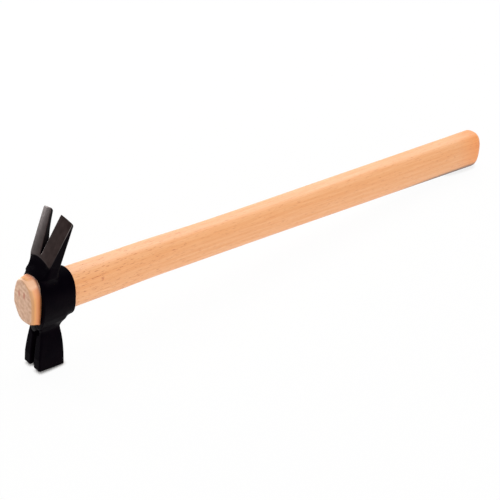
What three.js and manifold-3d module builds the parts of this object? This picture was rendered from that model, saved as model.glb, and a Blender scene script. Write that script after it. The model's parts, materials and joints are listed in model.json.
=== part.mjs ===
import * as THREE from "three";
import { mergeVertices } from "three/addons/utils/BufferGeometryUtils.js";
import Module from "manifold-3d";

// A carpenter's hammer in millimetres: a forged head, a beech handle that runs right through its eye,
// and a small magnet that holds a nail in the groove of the striking block.
// Each piece is drawn about the middle of the eye: X runs along the handle to the grip, Y runs across
// the hammer and Z rises to the claws. The whole hammer is then leaned until it stands on the rear
// edge of its striking face and the end of its grip.

const degree = Math.PI / 180;
const clearance = 0.3; // between pieces that touch
const overrun = 2; // how far a cut passes the face that it opens

// Handle
const headEndProud = 8.2; // how far the wood stands out of the eye's front mouth
const shaftLength = 424.3; // from the eye's rear mouth to the end of the grip
const woodWidth = 22; // across the flat sides
const headEndHeight = 40.4;
const frontEyeHeight = 36.4; // of the wood where it enters the eye's front mouth
const rearEyeHeight = 31.6; // of the wood where it leaves the eye's rear mouth
const waistShare = 0.314; // how far down the shaft its waist is
const waistHeight = 29;
const waistWidth = 20.2;
const swellShare = 0.68; // and how far down it has begun to grow into the grip
const swellHeight = 30.3;
const swellWidth = 20.9;
const gripHeight = 32.2;
const gripWidth = 21.3;
const shoulderSwell = 0.6; // how far the wood ahead of the eye spreads past the eye's sides
const headEndEase = 1.4; // the eased edge round the end grain
const gripEndRound = 7; // the rounded edge at the end of the grip

// Eye
const eyeFrontReach = 11.2;
const eyeRearReach = 17.6;
const frontCheekWall = 4; // iron beside the wood at the front mouth
const rearCheekWall = 2.2;
const frontRimWall = 2.2; // iron above and below the wood at the front mouth
const rearRimWall = 2;
const rimRound = 0.7;

// Striking block
const blockLength = 36.9; // from the eye's underside to the striking face
const faceDepth = 21.8; // along the handle
const faceWidth = 20.4;
const faceAhead = 0.5; // how far the block's middle lies ahead of the eye's middle
const bandHeight = 9; // the nearly straight band above the striking face
const bandDepth = 21.4;
const bandWidth = 20;
const neckDrop = 4.3; // from the eye's underside to the neck
const neckDepth = 15.5;
const neckWidth = 16;
const faceChamfer = 0.5;
const blockCornerRound = 0.9;
const neckCornerRound = 2.2;
const neckFrontFillet = 9;
const neckRearFillet = 7;
const neckSideFillet = 26;

// Claws, in a frame of their own that starts at the bottom of the nail slot
const slotBottomAhead = 4.7; // ahead of the eye's middle
const slotBottomRise = 14.8; // above the top of the eye
const slotLength = 33.9; // from its bottom to the inner corners of the tips
const slotMouth = 10.6;
const slotUpperWidth = 8.3; // three quarters of the way up
const slotMiddleWidth = 5.8;
const slotLowerWidth = 3.5; // a quarter of the way up
const slotBottomRound = 0.6;
const slotFlare = 45 * degree; // the prongs' inner sides open towards the rear
const slotBottomFlare = 33 * degree; // and so does the slot's bottom
const slotFlareShares = [0.35, 0.55, 0.68, 0.75, 0.77]; // of the sides' flare, in quarters from the bottom up
const slotRiseShares = [0.8, 0.25, 0, 0, 0]; // of the bottom's flare
const clawLean = 22.2 * degree; // of the ground faces, towards the grip
const clawRearLean = 12.8 * degree;
const crownRadius = 55; // the ground faces are parts of one wide cylinder
const tipWidth = 35; // across both tips
const tipDrop = 1.2; // the outer corners of the tips lie this far below the inner ones
const tipBevel = 24 * degree; // the tips are ground back to an edge at the front
const tipThickness = 4.6; // at the inner corners, before that bevel
const clawRootWidth = 25.2; // across the root of the claws
const clawRootRise = 10.3; // the root ends this far above the eye, where the claws have taken over
const clawRootSink = 12.7; // and starts this far below the eye's top, inside its wall
const rootFront = 5.4; // the forged front of the root lies this far ahead of the eye's middle
const scoopRise = 8.8; // above the eye, where the scoop in front of the root begins
const scoopRadius = 11.2;
const rootRearFillet = 6;
const rootCornerRound = 1.4;

// Nail starter: a groove up the front of the striking block, a round-ended recess and its magnet
const grooveWidth = 5.2;
const grooveDepth = 3.6;
const recessWidth = 11.2;
const recessDrop = 11.1; // from the eye's underside to the recess's lower end
const recessDepth = 2.45; // behind the front of the neck
const magnetDiameter = 6.2;
const magnetLength = 8.4;
const magnetProud = 4.6; // how far the magnet stands out of the recess's floor
const magnetDrop = 3.3; // from the eye's underside to the magnet's axis

// How finely curves are cut
const woodSides = 48;
const eyeSides = 64;
const cornerSteps = 4;
const filletSteps = 7;
const roundSteps = 4;
const shaftSteps = 16;
const crownSides = 120;
const magnetSides = 32;
const slotSteps = 12;
const slotDepthSteps = 5;
const woodPower = 2.6; // of the oval section: 2 is an ellipse, and more is squarer
const headEndPower = 3.4;
const eyePower = 2.35;

// Places along the handle, and heights above and below the middle of the eye
const headEndReach = eyeFrontReach + headEndProud;
const gripEndReach = eyeRearReach + shaftLength;
const eyeHalfHeight = frontEyeHeight / 2 + clearance + frontRimWall;
const faceReach = eyeHalfHeight + blockLength;
const neckReach = eyeHalfHeight + neckDrop;
const slotBottomHeight = eyeHalfHeight + slotBottomRise;
const clawRootTop = eyeHalfHeight + clawRootRise;
const clawRootFoot = eyeHalfHeight - clawRootSink;
const scoopTop = eyeHalfHeight + scoopRise;
const recessTop = eyeHalfHeight - clearance;
const recessReach = eyeHalfHeight + recessDrop;
const recessFloorAhead = faceAhead + neckDepth / 2 - recessDepth;
const magnetReach = eyeHalfHeight + magnetDrop;
const magnetFaceAhead = recessFloorAhead + magnetProud;

const wasm = await Module();
wasm.setup();

// A closed skin over rings of points that all have the same number of points
function skin(rings) {
  const count = rings[0].length;
  const points = rings.flat();
  const faces = [];
  for (let ring = 0; ring + 1 < rings.length; ring += 1) {
    for (let side = 0; side < count; side += 1) {
      const here = ring * count + side;
      const next = ring * count + (side + 1) % count;
      faces.push(here, next, next + count, here, next + count, here + count);
    }
  }
  for (const [ring, turned] of [[0, true], [rings.length - 1, false]]) {
    const middle = new THREE.Vector3();
    rings[ring].forEach((point) => middle.addScaledVector(point, 1 / count));
    const hub = points.push(middle) - 1;
    for (let side = 0; side < count; side += 1) {
      const here = ring * count + side;
      const next = ring * count + (side + 1) % count;
      faces.push(...(turned ? [hub, next, here] : [hub, here, next]));
    }
  }
  const geometry = new THREE.BufferGeometry().setFromPoints(points);
  geometry.setIndex(faces);
  return geometry;
}

function solid(geometry) {
  const bare = geometry.index ? geometry.toNonIndexed() : geometry.clone();
  bare.deleteAttribute("normal");
  bare.deleteAttribute("uv");
  const merged = mergeVertices(bare);
  return new wasm.Manifold(new wasm.Mesh({
    numProp: 3,
    vertProperties: merged.attributes.position.array,
    triVerts: new Uint32Array(merged.index.array),
  }));
}

function surface(body) {
  const { vertProperties, triVerts } = body.getMesh();
  const geometry = new THREE.BufferGeometry();
  geometry.setAttribute("position", new THREE.BufferAttribute(vertProperties, 3));
  geometry.setIndex(new THREE.BufferAttribute(triVerts, 1));
  const flat = geometry.toNonIndexed();
  flat.computeVertexNormals();
  return flat;
}

// An oval ring across the handle at a given reach along it
function ovalRing(reach, halfWidth, halfHeight, sides, power = woodPower) {
  return Array.from({ length: sides }, (_, side) => {
    const turn = (side / sides) * 2 * Math.PI;
    const across = Math.cos(turn);
    const up = Math.sin(turn);
    return new THREE.Vector3(
      reach,
      Math.sign(across) * halfWidth * Math.abs(across) ** (2 / power),
      Math.sign(up) * halfHeight * Math.abs(up) ** (2 / power),
    );
  });
}

// A level rectangle with rounded corners, seen from above, at a given height
function cornerRing(height, front, rear, halfWidth, round) {
  const middles = [
    [rear - round, halfWidth - round],
    [front + round, halfWidth - round],
    [front + round, round - halfWidth],
    [rear - round, round - halfWidth],
  ];
  return middles.flatMap(([along, across], corner) => (
    Array.from({ length: cornerSteps + 1 }, (_, step) => {
      const turn = (corner + step / cornerSteps) * 90 * degree;
      return new THREE.Vector3(along + round * Math.cos(turn), across + round * Math.sin(turn), height);
    })
  ));
}

// How far a fillet of this radius has spread at a given way into it
function spread(way, radius) {
  const within = THREE.MathUtils.clamp(way, 0, radius);
  return radius - Math.sqrt(radius ** 2 - within ** 2);
}

// A plate cut to an outline and placed by three axes: the outline's two and the way it is thick
function plate(outline, from, to, axes) {
  const geometry = new THREE.ExtrudeGeometry(outline, { depth: to - from, bevelEnabled: false });
  geometry.translate(0, 0, from);
  return solid(geometry.applyMatrix4(axes));
}

// The wood's section: half its width and half its height where the handle enters and leaves the eye
const eyeEntry = { reach: -eyeFrontReach, width: woodWidth / 2, height: frontEyeHeight / 2 };
const eyeExit = { reach: eyeRearReach, width: woodWidth / 2, height: rearEyeHeight / 2 };

function eyeWood(reach) {
  const share = (reach - eyeEntry.reach) / (eyeExit.reach - eyeEntry.reach);
  return {
    width: THREE.MathUtils.lerp(eyeEntry.width, eyeExit.width, share),
    height: THREE.MathUtils.lerp(eyeEntry.height, eyeExit.height, share),
  };
}

// Handle: an eased head end, a swollen shoulder against the eye, the tapered part inside the eye,
// and a shaft that narrows to a waist and grows again to the grip
function handleRings() {
  const rings = [];
  const shoulderWidth = woodWidth / 2 + clearance + shoulderSwell;
  for (let step = 0; step <= roundSteps; step += 1) {
    const turn = (step / roundSteps) * 90 * degree;
    const inset = headEndEase * (1 - Math.sin(turn));
    const reach = -headEndReach + headEndEase * (1 - Math.cos(turn));
    rings.push(ovalRing(reach, shoulderWidth - inset, headEndHeight / 2 - inset, woodSides, headEndPower));
  }
  const shoulder = -eyeFrontReach - clearance;
  rings.push(ovalRing(shoulder, shoulderWidth, headEndHeight / 2, woodSides, headEndPower));
  const entry = eyeWood(shoulder);
  rings.push(ovalRing(shoulder + clearance / 3, entry.width, entry.height, woodSides));
  const along = (share) => THREE.MathUtils.lerp(eyeRearReach, gripEndReach - gripEndRound, share);
  const outline = new THREE.SplineCurve([
    new THREE.Vector2(along(0), rearEyeHeight / 2),
    new THREE.Vector2(along(waistShare), waistHeight / 2),
    new THREE.Vector2(along(swellShare), swellHeight / 2),
    new THREE.Vector2(along(1), gripHeight / 2),
  ]);
  const flank = new THREE.SplineCurve([
    new THREE.Vector2(along(0), woodWidth / 2),
    new THREE.Vector2(along(waistShare), waistWidth / 2),
    new THREE.Vector2(along(swellShare), swellWidth / 2),
    new THREE.Vector2(along(1), gripWidth / 2),
  ]);
  for (let step = 0; step <= shaftSteps; step += 1) {
    const top = outline.getPoint(step / shaftSteps);
    const side = flank.getPoint(step / shaftSteps);
    rings.push(ovalRing(top.x, side.y, top.y, woodSides));
  }
  for (let step = 1; step <= roundSteps; step += 1) {
    const turn = (step / roundSteps) * 90 * degree;
    const inset = gripEndRound * (1 - Math.cos(turn));
    const reach = gripEndReach - gripEndRound * (1 - Math.sin(turn));
    rings.push(ovalRing(reach, gripWidth / 2 - inset, gripHeight / 2 - inset, woodSides));
  }
  return rings;
}

// Eye: an oval tube along the handle, wider and taller at its front mouth, with rounded rims
function eyeTube() {
  const rings = [];
  const length = eyeFrontReach + eyeRearReach;
  const ring = (reach, inset) => {
    const share = (reach + eyeFrontReach) / length;
    const wood = eyeWood(reach);
    const width = wood.width + clearance + THREE.MathUtils.lerp(frontCheekWall, rearCheekWall, share);
    const height = wood.height + clearance + THREE.MathUtils.lerp(frontRimWall, rearRimWall, share);
    rings.push(ovalRing(reach, width - inset, height - inset, eyeSides, eyePower));
  };
  for (let step = 0; step <= roundSteps; step += 1) {
    const turn = (step / roundSteps) * 90 * degree;
    ring(-eyeFrontReach + rimRound * (1 - Math.cos(turn)), rimRound * (1 - Math.sin(turn)));
  }
  for (let step = 0; step <= roundSteps; step += 1) {
    const turn = (step / roundSteps) * 90 * degree;
    ring(eyeRearReach - rimRound * (1 - Math.sin(turn)), rimRound * (1 - Math.cos(turn)));
  }
  return solid(skin(rings));
}

function eyeBore() {
  const ring = (reach) => {
    const wood = eyeWood(reach);
    return ovalRing(reach, wood.width + clearance, wood.height + clearance, woodSides);
  };
  return solid(skin([ring(-eyeFrontReach - overrun), ring(eyeRearReach + overrun)]));
}

// Striking block: straight beside the face, tapered to the neck and spread by fillets into the eye
function strikingBlock() {
  const rings = [];
  const ring = (reach, depth, width, round, spreads = [0, 0, 0]) => {
    const [front, rear, side] = spreads;
    rings.push(cornerRing(
      -reach,
      -faceAhead - depth / 2 - front,
      -faceAhead + depth / 2 + rear,
      width / 2 + side,
      round,
    ));
  };
  ring(faceReach, faceDepth - 2 * faceChamfer, faceWidth - 2 * faceChamfer, blockCornerRound);
  ring(faceReach - faceChamfer, faceDepth, faceWidth, blockCornerRound);
  ring(faceReach - bandHeight, bandDepth, bandWidth, blockCornerRound);
  ring(neckReach, neckDepth, neckWidth, neckCornerRound);
  const rise = neckReach / 2;
  for (let step = 1; step <= filletSteps; step += 1) {
    const way = (step / filletSteps) * rise;
    const rear = spread(way, neckRearFillet);
    ring(neckReach - way, neckDepth, neckWidth, neckCornerRound + rear / 2, [
      Math.min(spread(way, neckFrontFillet), eyeFrontReach - faceAhead - neckDepth / 2),
      rear,
      spread(way, neckSideFillet),
    ]);
  }
  return solid(skin(rings));
}

// Root of the claws: from inside the eye up past the scoop, its rear following the claws' rear
const clawRearAt = (height) => (
  slotLength * Math.sin(clawLean) - slotBottomAhead + tipThickness / Math.cos(clawLean)
  - (slotBottomHeight + slotLength * Math.cos(clawLean) - height) * Math.tan(clawRearLean)
);

function clawRoot() {
  const rings = [];
  const fall = clawRootTop - clawRootFoot;
  for (let step = 0; step <= 2 * filletSteps; step += 1) {
    const way = (step / (2 * filletSteps)) * fall;
    const height = clawRootTop - way;
    const front = rootFront + spread(scoopTop - height, scoopRadius);
    const rear = spread(neckReach - height, rootRearFillet);
    rings.unshift(cornerRing(
      height,
      -Math.min(front, eyeFrontReach),
      clawRearAt(height) + rear,
      clawRootWidth / 2,
      rootCornerRound + Math.max(front - rootFront, rear) / 2,
    ));
  }
  return solid(skin(rings));
}

// Claws: a wedge seen from the side, flared seen from the front, ground to one wide cylinder in front
const clawFrameWith = (droop) => new THREE.Matrix4().makeBasis(
  new THREE.Vector3(0, 1, 0),
  new THREE.Vector3(Math.sin(clawLean), 0, Math.cos(clawLean)),
  new THREE.Vector3(Math.cos(clawLean + droop), 0, -Math.sin(clawLean + droop)),
).setPosition(-slotBottomAhead, 0, slotBottomHeight);
const clawFrame = clawFrameWith(0);
const sideFrame = new THREE.Matrix4().makeBasis(
  new THREE.Vector3(1, 0, 0),
  new THREE.Vector3(0, 0, 1),
  new THREE.Vector3(0, -1, 0),
);

function claws() {
  const tipHeight = slotBottomHeight + slotLength * Math.cos(clawLean) + overrun;
  const wedge = new THREE.Shape([
    new THREE.Vector2(-rootFront, scoopTop - overrun),
    new THREE.Vector2(clawRearAt(scoopTop - overrun), scoopTop - overrun),
    new THREE.Vector2(clawRearAt(tipHeight), tipHeight),
    new THREE.Vector2(-rootFront, tipHeight),
  ]);
  const side = plate(wedge, -tipWidth, tipWidth, sideFrame);

  const rootWay = (clawRootTop - slotBottomHeight) / Math.cos(clawLean);
  const outerWay = slotLength - tipDrop;
  const grow = (tipWidth - clawRootWidth) / 2 / (outerWay - rootWay);
  const foot = (clawRootFoot - slotBottomHeight) / Math.cos(clawLean);
  const footHalf = tipWidth / 2 - grow * (outerWay - foot);
  const headHalf = tipWidth / 2 + grow * (slotLength - outerWay);
  const flanks = new THREE.Shape([
    new THREE.Vector2(-footHalf, foot),
    new THREE.Vector2(footHalf, foot),
    new THREE.Vector2(headHalf, slotLength),
    new THREE.Vector2(-headHalf, slotLength),
  ]);
  const flared = plate(flanks, -tipWidth, tipWidth, clawFrame);

  const fall = tipDrop / (tipWidth / 2 - slotMouth / 2);
  const tips = new THREE.Shape([
    new THREE.Vector2(-tipWidth, foot),
    new THREE.Vector2(tipWidth, foot),
    new THREE.Vector2(tipWidth, slotLength - fall * (tipWidth - slotMouth / 2)),
    new THREE.Vector2(slotMouth / 2, slotLength),
    new THREE.Vector2(-slotMouth / 2, slotLength),
    new THREE.Vector2(-tipWidth, slotLength - fall * (tipWidth - slotMouth / 2)),
  ]);
  const bevelled = plate(tips, -tipWidth, tipWidth, clawFrameWith(tipBevel));

  const crown = new THREE.CylinderGeometry(crownRadius, crownRadius, 4 * slotLength, crownSides);
  crown.translate(0, 0, crownRadius);
  const ground = solid(crown.applyMatrix4(clawFrame));
  return side.intersect(flared).intersect(bevelled).intersect(ground);
}

// Nail slot: a V in the ground faces that opens and rounds out towards the rear
function nailSlot() {
  const widths = [2 * slotBottomRound, slotLowerWidth, slotMiddleWidth, slotUpperWidth, slotMouth];
  const ring = (depth) => {
    const grown = depth * Math.tan(slotFlare);
    const risen = depth * Math.tan(slotBottomFlare);
    const side = new THREE.SplineCurve(widths.map((width, quarter) => new THREE.Vector2(
      width / 2 + slotFlareShares[quarter] * grown,
      slotBottomRound + (quarter / 4) * slotLength + slotRiseShares[quarter] * risen,
    )));
    const flank = side.getPoints(slotSteps).reverse();
    const outline = [
      ...flank,
      new THREE.Vector2(0, risen),
      ...flank.toReversed().map((point) => new THREE.Vector2(-point.x, point.y)),
    ];
    return outline.map((point) => new THREE.Vector3(point.x, point.y, depth).applyMatrix4(clawFrame));
  };
  const through = (clawRearAt(slotBottomHeight) + slotBottomAhead) / Math.cos(clawLean);
  return solid(skin(Array.from({ length: slotDepthSteps + 1 }, (_, step) => (
    ring(THREE.MathUtils.lerp(through + overrun, -slotBottomRound, step / slotDepthSteps))
  ))));
}

// Nail starter: the groove's floor keeps its depth below the block's sloping front
function nailStarter() {
  const blockFront = (depth) => -faceAhead - depth / 2;
  const slope = (blockFront(neckDepth) - blockFront(faceDepth)) / (faceReach - neckReach);
  const floorAt = (reach) => blockFront(faceDepth) + grooveDepth + slope * (faceReach - reach);
  const groove = new THREE.Shape([
    new THREE.Vector2(-eyeFrontReach - overrun, -faceReach - overrun),
    new THREE.Vector2(floorAt(faceReach + overrun), -faceReach - overrun),
    new THREE.Vector2(floorAt(neckReach), -neckReach),
    new THREE.Vector2(-eyeFrontReach - overrun, -neckReach),
  ]);
  const recess = new THREE.Shape();
  recess.moveTo(recessWidth / 2, -recessTop);
  recess.lineTo(-recessWidth / 2, -recessTop);
  recess.lineTo(-recessWidth / 2, -recessReach + recessWidth / 2);
  recess.absarc(0, -recessReach + recessWidth / 2, recessWidth / 2, Math.PI, 2 * Math.PI, false);
  const frontFrame = new THREE.Matrix4().makeBasis(
    new THREE.Vector3(0, 1, 0),
    new THREE.Vector3(0, 0, 1),
    new THREE.Vector3(1, 0, 0),
  );
  return plate(groove, -grooveWidth / 2, grooveWidth / 2, sideFrame)
    .add(plate(recess, -eyeFrontReach - overrun, -recessFloorAhead, frontFrame));
}

function magnetShape(gap) {
  const radius = magnetDiameter / 2 + gap;
  const geometry = new THREE.CylinderGeometry(radius, radius, magnetLength + gap, magnetSides);
  geometry.rotateZ(90 * degree);
  return geometry.translate((magnetLength + gap) / 2 - magnetFaceAhead, 0, -magnetReach);
}

function headSolid() {
  return eyeTube()
    .add(strikingBlock())
    .add(clawRoot())
    .add(claws())
    .subtract(eyeBore())
    .subtract(nailSlot())
    .subtract(nailStarter())
    .subtract(solid(magnetShape(clearance)));
}

const rings = handleRings();

const forgedSteel = new THREE.MeshStandardMaterial({ color: 0x17151a, roughness: 0.5, metalness: 0.6 });
const beech = new THREE.MeshStandardMaterial({ color: 0xe9b184, roughness: 0.55, metalness: 0 });
const magnetSteel = new THREE.MeshStandardMaterial({ color: 0x8f8f93, roughness: 0.35, metalness: 1 });

function piece(name, geometry, material) {
  const mesh = new THREE.Mesh(geometry, material);
  mesh.name = name;
  return mesh;
}

const hammer = new THREE.Group();
hammer.add(
  piece("head", surface(headSolid()), forgedSteel),
  piece("handle", surface(solid(skin(rings))), beech),
  piece("nail_magnet", surface(solid(magnetShape(0))), magnetSteel),
);

// The lean that brings the rear edge of the striking face and the grip's underside to one level
const heelAlong = faceDepth / 2 - faceChamfer - faceAhead;
const lean = Math.min(...rings.flat()
  .filter((point) => point.x > heelAlong)
  .map((point) => Math.atan2(faceReach + point.z, point.x - heelAlong)));
hammer.rotation.y = lean;

const standing = new THREE.Group();
standing.add(hammer);
standing.updateMatrixWorld(true);
const box = new THREE.Box3().setFromObject(hammer, true);
const middle = box.getCenter(new THREE.Vector3());
hammer.position.set(-middle.x, -middle.y, -box.min.z);

export default standing;
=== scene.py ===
# %% [markdown]
# A carpenter's hammer, dressed for its portrait
#
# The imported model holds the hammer's three pieces at their real size: a forged head, a beech handle that
# runs right through the head's eye, and a rod magnet that holds a nail. Here each piece gets the surface
# that a hand would feel: soft forged corners, crisp ground claws, eased and shaved wood.
# The numbers below are in millimetres about the middle of the eye, because that is how a smith or a
# joiner would measure the hammer. One function at the end of each piece carries them into the frame.

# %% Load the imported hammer
import json
import math

import bmesh
import bpy
import numpy as np
import openvdb
from mathutils import Matrix, Vector


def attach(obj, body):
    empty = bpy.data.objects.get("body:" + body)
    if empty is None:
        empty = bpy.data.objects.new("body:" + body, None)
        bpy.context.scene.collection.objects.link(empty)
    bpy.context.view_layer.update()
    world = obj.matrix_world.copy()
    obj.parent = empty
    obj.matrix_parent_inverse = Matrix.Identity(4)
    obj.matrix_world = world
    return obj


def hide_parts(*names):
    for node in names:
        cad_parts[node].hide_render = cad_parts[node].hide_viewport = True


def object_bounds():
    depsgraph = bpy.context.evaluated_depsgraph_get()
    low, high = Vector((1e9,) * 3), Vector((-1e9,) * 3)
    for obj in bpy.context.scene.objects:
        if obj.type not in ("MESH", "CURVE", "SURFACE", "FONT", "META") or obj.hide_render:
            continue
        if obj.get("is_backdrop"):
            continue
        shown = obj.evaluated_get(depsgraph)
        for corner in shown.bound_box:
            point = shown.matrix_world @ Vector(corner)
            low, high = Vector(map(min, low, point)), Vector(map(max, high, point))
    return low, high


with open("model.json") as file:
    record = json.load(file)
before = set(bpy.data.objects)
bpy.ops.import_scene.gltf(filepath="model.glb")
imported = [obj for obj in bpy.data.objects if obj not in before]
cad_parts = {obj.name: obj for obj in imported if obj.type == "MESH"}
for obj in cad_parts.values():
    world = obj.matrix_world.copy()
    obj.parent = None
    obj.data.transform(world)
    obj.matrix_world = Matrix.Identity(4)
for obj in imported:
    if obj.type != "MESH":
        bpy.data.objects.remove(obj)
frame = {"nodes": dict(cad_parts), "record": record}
cad_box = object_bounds()
print("nodes", sorted(frame["nodes"]), "box", [list(corner) for corner in cad_box])

# %% [markdown]
# Where the hammer stands
#
# The hammer stands on the rear edge of its striking face and on the end of its grip, so its head leans a
# little. The record's one mount is the striking face, and its axis points straight out of that face.
# The lean and the middle of the eye follow from it, which is safer than typing them again.

# %% Find the middle of the eye
MM = 0.001
degree = math.pi / 180

eye_half_height = 20.7
block_length = 36.9
face_reach = eye_half_height + block_length
face_ahead = 0.5

face_mount = frame["record"]["mounts"][0]
lean = math.asin(-face_mount["axis"][0])
lean_turn = Matrix.Rotation(lean, 3, "Y")
face_middle = Vector((-face_ahead, 0, -face_reach)) * MM
eye_middle = Vector(face_mount["pos_m"]) - lean_turn @ face_middle
print("lean", round(lean / degree, 3), "degrees, middle of the eye", [round(v, 5) for v in eye_middle])


def to_frame(points):
    """Carries points in millimetres about the eye into the frame, in metres."""
    return np.asarray(points) * MM @ np.array(lean_turn).T + np.array(eye_middle)


# %% [markdown]
# The camera
#
# The photograph looks down on the hammer from its front left, from more than a metre away, so the lens
# is long and the handle hardly narrows. The camera is placed from five numbers that a photographer could
# note down, and from the pixel at which the middle of the eye has to land. One of them is a roll of a
# third of a degree, because a camera held by hand is seldom quite level.

# %% Place the camera
view_azimuth = -39.15 * degree
view_elevation = 34.124 * degree
view_roll = -0.32 * degree
view_distance = 1.2218
focal_pixels = 1703.39
picture_pixels = 500
eye_pixel = (45.46, 294.925)

towards_camera = Vector((
    math.sin(view_azimuth) * math.cos(view_elevation),
    -math.cos(view_azimuth) * math.cos(view_elevation),
    math.sin(view_elevation),
))
camera_right = Vector((math.cos(view_azimuth), math.sin(view_azimuth), 0))
camera_right.rotate(Matrix.Rotation(view_roll, 3, towards_camera))
camera_up = towards_camera.cross(camera_right)
metres_per_pixel = view_distance / focal_pixels
eye_right = (eye_pixel[0] - picture_pixels / 2) * metres_per_pixel
eye_up = (picture_pixels / 2 - eye_pixel[1]) * metres_per_pixel

camera_data = bpy.data.cameras.new("camera")
camera_data.sensor_width = 36
camera_data.lens = focal_pixels * camera_data.sensor_width / picture_pixels
camera = bpy.data.objects.new("camera", camera_data)
camera.matrix_world = Matrix.LocRotScale(
    eye_middle - camera_right * eye_right - camera_up * eye_up + towards_camera * view_distance,
    Matrix((camera_right, camera_up, towards_camera)).transposed(),
    None,
)
bpy.context.scene.collection.objects.link(camera)
bpy.context.scene.camera = camera
print("lens", round(camera_data.lens, 2), "mm, at", [round(v, 4) for v in camera.location])

# %% [markdown]
# Colours and nodes
#
# A colour picked from a picture is an sRGB value, and a shader works in linear light, so one function
# turns the one into the other. A second function adds a node, sets it and links it in one call. That
# keeps a material readable from top to bottom. The last two answer questions that more than one material
# asks: where does a point lie about the eye, and which rays see the studio as plain white?

# %% Helpers for materials
def linear(code):
    """An sRGB colour such as #C8A080 as linear RGBA."""
    shares = [int(code[i:i + 2], 16) / 255 for i in (1, 3, 5)]
    return [s / 12.92 if s <= 0.04045 else ((s + 0.055) / 1.055) ** 2.4 for s in shares] + [1]


def add(tree, kind, settings=None, **inputs):
    """Adds a node. An input goes by place, as in i0, or by name, and is a node, a socket or a value."""
    made = tree.nodes.new(kind)
    for name, value in (settings or {}).items():
        setattr(made, name, value)
    for name, value in inputs.items():
        place = name[1:].isdigit() and name[0] == "i"
        socket = made.inputs[int(name[1:]) if place else name.replace("_", " ")]
        if isinstance(value, bpy.types.Node):
            value = next(output for output in value.outputs if output.enabled)
        if isinstance(value, bpy.types.NodeSocket):
            tree.links.new(value, socket)
        else:
            socket.default_value = value
    return made


def new_material(name):
    """A material with an empty node tree."""
    material = bpy.data.materials.new(name)
    material.use_nodes = True
    material.node_tree.nodes.clear()
    return material, material.node_tree


def about_eye(tree):
    """A place on a piece in the frame, and again in millimetres about the eye, as the forms are written."""
    coordinates = add(tree, "ShaderNodeTexCoord")
    local = add(tree, "ShaderNodeMapping", {"vector_type": "TEXTURE"}, Vector=coordinates.outputs["Object"],
                Location=eye_middle, Rotation=(0, lean, 0), Scale=(MM, MM, MM))
    return coordinates.outputs["Object"], local


def seen_directly(tree):
    """1 for rays of the camera, of mirrors and of glass, which see plain white, and 0 for all others."""
    path = add(tree, "ShaderNodeLightPath")
    seen = path.outputs["Is Camera Ray"]
    for ray in ("Is Glossy Ray", "Is Transmission Ray"):
        seen = add(tree, "ShaderNodeMath", {"operation": "MAXIMUM"}, i0=seen, i1=path.outputs[ray])
    return seen


print("mid grey #808080 is", round(linear("#808080")[0], 3), "in linear light")

# %% [markdown]
# Stage and light
#
# A tool catalogue shows its tools on white. The floor and the world give the camera plain white, and
# polished metal sees the same white. The light itself stays at a plain level. A pale sky lights the
# hammer from all round. A key box stands behind it and high up, so the top of the handle shines and its
# upper side stays deeper in colour. A weak fill box stands in front. The third box stands low on the far
# side, where the ground face of the far claw mirrors it.
# The floor is white paper that glows for the camera, but not where the hammer nearly touches it: there
# Ambient Occlusion lets the paper's own shading through, so the block keeps a soft dark line below it.
# In the photograph the floor under the grip is plain white, so there the glow hardly gives way.

# %% Build the stage
scene = bpy.context.scene
scene.view_settings.view_transform = "Standard"

sky_strength = 0.42
floor_reach = 6
floor_glow_share = 0.96
contact_reach = 0.003
grip_glow_reach, grip_glow_share = 0.1, 0.8

world = bpy.data.worlds.new("white_studio")
scene.world = world
world.use_nodes = True
tree = world.node_tree
tree.nodes.clear()
strength = add(tree, "ShaderNodeMapRange", Value=seen_directly(tree), To_Min=sky_strength, To_Max=1.0)
sky = add(tree, "ShaderNodeBackground", Color=(1, 1, 1, 1), Strength=strength)
add(tree, "ShaderNodeOutputWorld", Surface=sky)

floor_mesh = bpy.data.meshes.new("floor")
floor_mesh.from_pydata(
    [(x * floor_reach, y * floor_reach, 0) for x, y in ((-1, -1), (1, -1), (1, 1), (-1, 1))],
    [], [(0, 1, 2, 3)])
floor = bpy.data.objects.new("floor", floor_mesh)
scene.collection.objects.link(floor)
material, tree = new_material("white_studio_paper")
paper = add(tree, "ShaderNodeBsdfDiffuse", Color=linear("#F4F2F0"))
glow = add(tree, "ShaderNodeEmission", Color=(1, 1, 1, 1), Strength=1.0)
openness = add(tree, "ShaderNodeAmbientOcclusion", {"samples": 8}, Distance=contact_reach)
openness = add(tree, "ShaderNodeMapRange", Value=openness.outputs["AO"],
               From_Min=0.5, From_Max=0.95, To_Max=floor_glow_share)
floor_place = add(tree, "ShaderNodeTexCoord")
floor_place = add(tree, "ShaderNodeSeparateXYZ", Vector=floor_place.outputs["Object"])
under_grip = add(tree, "ShaderNodeMapRange", Value=floor_place.outputs["X"],
                 From_Max=grip_glow_reach, To_Max=grip_glow_share)
openness = add(tree, "ShaderNodeMath", {"operation": "MAXIMUM"}, i0=openness, i1=under_grip)
share = add(tree, "ShaderNodeMath", {"operation": "MULTIPLY"}, i0=seen_directly(tree), i1=openness)
surface = add(tree, "ShaderNodeMixShader", i0=share, i1=paper, i2=glow)
add(tree, "ShaderNodeOutputMaterial", Surface=surface)
floor_mesh.materials.append(material)
floor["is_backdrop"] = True


def soft_box(name, place, aim, size, power):
    """A square soft box at a place, turned to a point, in metres and watts."""
    data = bpy.data.lights.new(name, "AREA")
    data.size = size
    data.energy = power
    lamp = bpy.data.objects.new(name, data)
    lamp.location = place
    lamp.rotation_euler = (Vector(place) - Vector(aim)).to_track_quat("Z", "Y").to_euler()
    lamp.visible_camera = False
    scene.collection.objects.link(lamp)


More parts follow.
